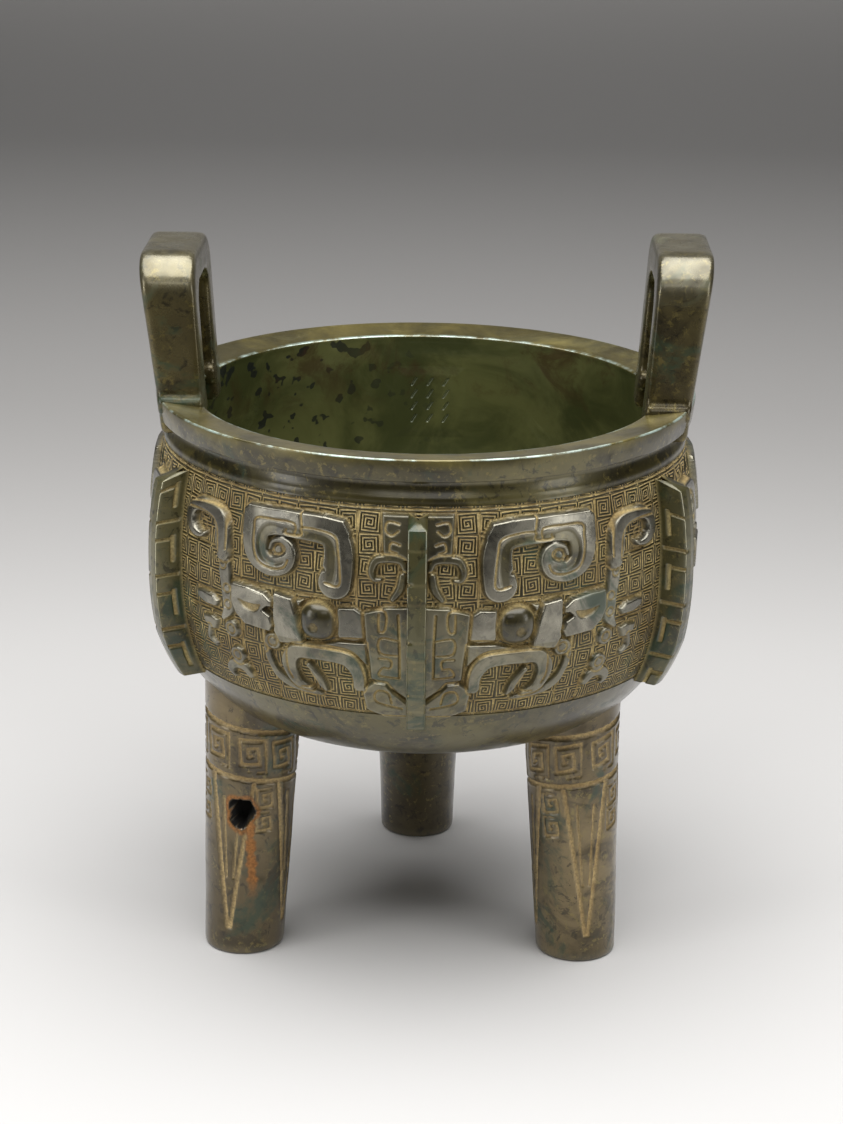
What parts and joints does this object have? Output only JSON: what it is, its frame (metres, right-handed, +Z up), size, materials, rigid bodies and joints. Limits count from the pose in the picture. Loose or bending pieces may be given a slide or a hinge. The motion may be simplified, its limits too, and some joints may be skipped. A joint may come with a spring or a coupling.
{
  "type": "bronze ding vessel",
  "caption": "Ancient round bronze ding: deep bowl with flat lip, upright loop handles, hooked flanges, mask relief and cylindrical legs, with green-brown patina.",
  "frame": {"origin": "on the ground under the bowl's axis, midway between the handles", "axes": "+Z up, -Y towards the front mask, +X towards the right handle"},
  "size_m": [0.1986, 0.2138, 0.254],
  "materials": {
    "patinated_bronze": "satin"
  },
  "bodies": {
    "root": {"bronze_ding": "patinated_bronze"}
  },
  "joints": []
}
